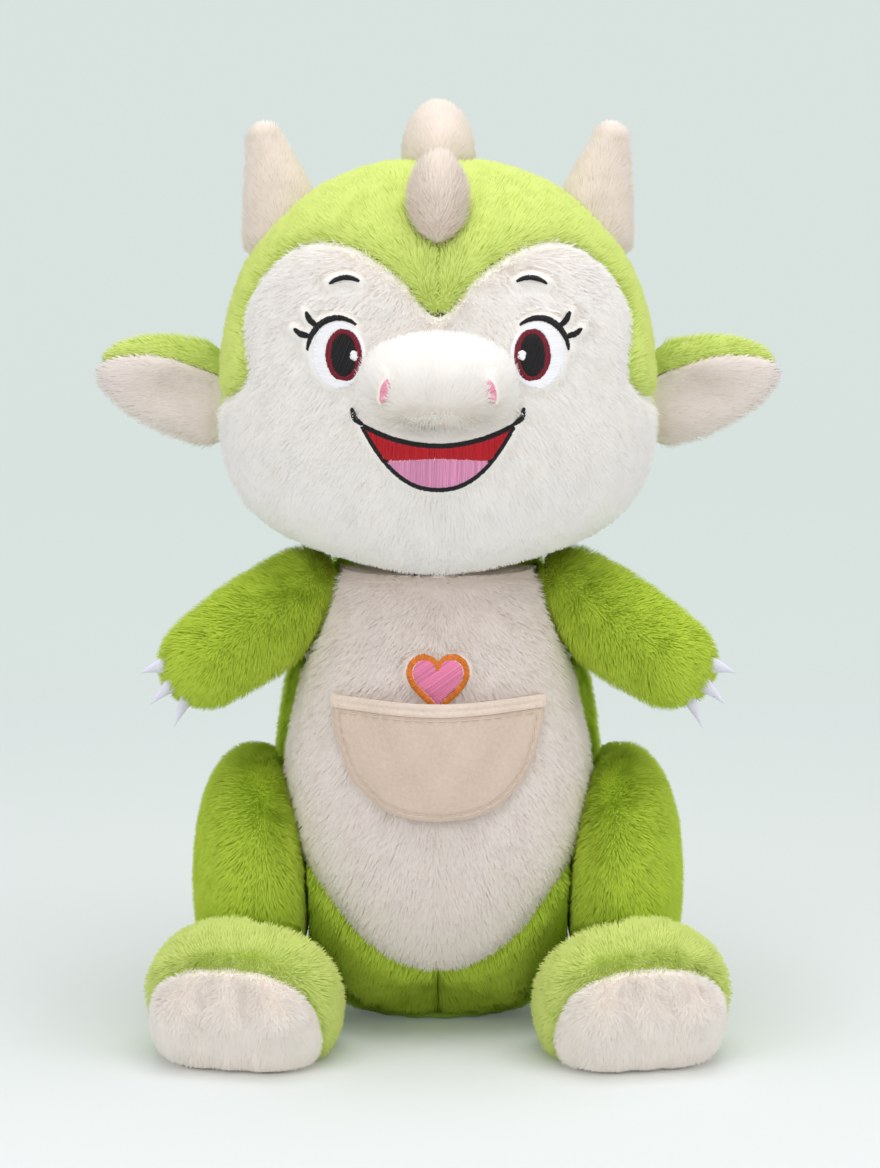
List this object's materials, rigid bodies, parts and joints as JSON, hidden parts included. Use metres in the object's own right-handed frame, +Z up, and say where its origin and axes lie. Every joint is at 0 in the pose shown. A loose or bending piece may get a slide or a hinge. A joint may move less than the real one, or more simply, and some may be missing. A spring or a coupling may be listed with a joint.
{
  "type": "plush dragon",
  "caption": "Seated plush dragon with stuffed head, arms, legs and tail, horns, ears, crest fins, embroidered face and an open belly pocket.",
  "frame": {"origin": "on the flat seat gusset, under the middle of the torso, on the surface that the toy sits on", "axes": "+Z up, -Y the way the face looks, +X to the right as seen from the front"},
  "size_m": [0.211, 0.1829, 0.2868],
  "materials": {
    "green_plush": "matte",
    "cream_plush": "matte",
    "fibre_fill": "matte",
    "pocket_fabric": "matte",
    "black_thread": "satin",
    "white_thread": "satin",
    "red_thread": "satin",
    "iris_thread": "satin",
    "pink_thread": "satin",
    "tongue_thread": "satin",
    "nostril_thread": "satin",
    "orange_thread": "satin",
    "claw_satin": "satin"
  },
  "bodies": {
    "torso": {"torso_back_left": "green_plush", "torso_back_right": "green_plush", "belly_panel": "cream_plush", "base_gusset": "green_plush", "torso_filling": "fibre_fill", "pocket": "pocket_fabric", "pocket_hem": "pocket_fabric", "pocket_heart": "pink_thread", "pocket_heart_border": "orange_thread", "back_fin_1": "cream_plush", "back_fin_2": "cream_plush"},
    "head": {"face_panel": "cream_plush", "head_crown_left": "green_plush", "head_crown_right": "green_plush", "head_filling": "fibre_fill", "muzzle": "cream_plush", "mouth_outline": "black_thread", "mouth_lining": "red_thread", "tongue": "tongue_thread", "horn_left": "cream_plush", "horn_right": "cream_plush", "head_fin_1": "cream_plush", "head_fin_2": "cream_plush", "head_fin_3": "cream_plush", "eye_white_left": "white_thread", "iris_left": "iris_thread", "pupil_left": "black_thread", "eye_highlight_left": "white_thread", "eyelashes_left": "black_thread", "brow_left": "black_thread", "nostril_left": "nostril_thread", "eye_white_right": "white_thread", "iris_right": "iris_thread", "pupil_right": "black_thread", "eye_highlight_right": "white_thread", "eyelashes_right": "black_thread", "brow_right": "black_thread", "nostril_right": "nostril_thread"},
    "ear_left": {"ear_lining_left": "cream_plush", "ear_back_left": "green_plush"},
    "arm_left": {"arm_left": "green_plush", "claw_left_1": "claw_satin", "claw_left_2": "claw_satin", "claw_left_3": "claw_satin"},
    "leg_left": {"haunch_left": "green_plush", "foot_left": "green_plush", "toe_cap_left": "cream_plush"},
    "ear_right": {"ear_lining_right": "cream_plush", "ear_back_right": "green_plush"},
    "arm_right": {"arm_right": "green_plush", "claw_right_1": "claw_satin", "claw_right_2": "claw_satin", "claw_right_3": "claw_satin"},
    "leg_right": {"haunch_right": "green_plush", "foot_right": "green_plush", "toe_cap_right": "cream_plush"},
    "tail": {"tail": "green_plush", "tail_fin_1": "cream_plush", "tail_fin_2": "cream_plush"}
  },
  "joints": [
    {"name": "head_turn", "type": "hinge", "parent": "torso", "child": "head", "pos_m": [0, 0.002, 0.132], "axis": [0, 0, 1], "range_deg": [-35, 35], "stiffness_Nm_per_rad": 0.25},
    {"name": "ear_left_flap", "type": "hinge", "parent": "head", "child": "ear_left", "pos_m": [-0.0665, 0.006, 0.196], "axis": [0, 0, 1], "range_deg": [-30, 30], "stiffness_Nm_per_rad": 0.02},
    {"name": "arm_left_swing", "type": "hinge", "parent": "torso", "child": "arm_left", "pos_m": [-0.042, -0.006, 0.135], "axis": [-1, 0, 0], "range_deg": [-20, 45], "stiffness_Nm_per_rad": 0.08},
    {"name": "leg_left_swing", "type": "hinge", "parent": "torso", "child": "leg_left", "pos_m": [-0.057, -0.003, 0.047], "axis": [-1, 0, 0], "range_deg": [-5, 30], "stiffness_Nm_per_rad": 0.3},
    {"name": "ear_right_flap", "type": "hinge", "parent": "head", "child": "ear_right", "pos_m": [0.0665, 0.006, 0.196], "axis": [0, 0, -1], "range_deg": [-30, 30], "stiffness_Nm_per_rad": 0.02},
    {"name": "arm_right_swing", "type": "hinge", "parent": "torso", "child": "arm_right", "pos_m": [0.042, -0.006, 0.135], "axis": [-1, 0, 0], "range_deg": [-20, 45], "stiffness_Nm_per_rad": 0.08},
    {"name": "leg_right_swing", "type": "hinge", "parent": "torso", "child": "leg_right", "pos_m": [0.057, -0.003, 0.047], "axis": [-1, 0, 0], "range_deg": [-5, 30], "stiffness_Nm_per_rad": 0.3},
    {"name": "tail_wag", "type": "hinge", "parent": "torso", "child": "tail", "pos_m": [0, 0.034, 0.021], "axis": [0, 0, 1], "range_deg": [-20, 20], "stiffness_Nm_per_rad": 0.15}
  ]
}
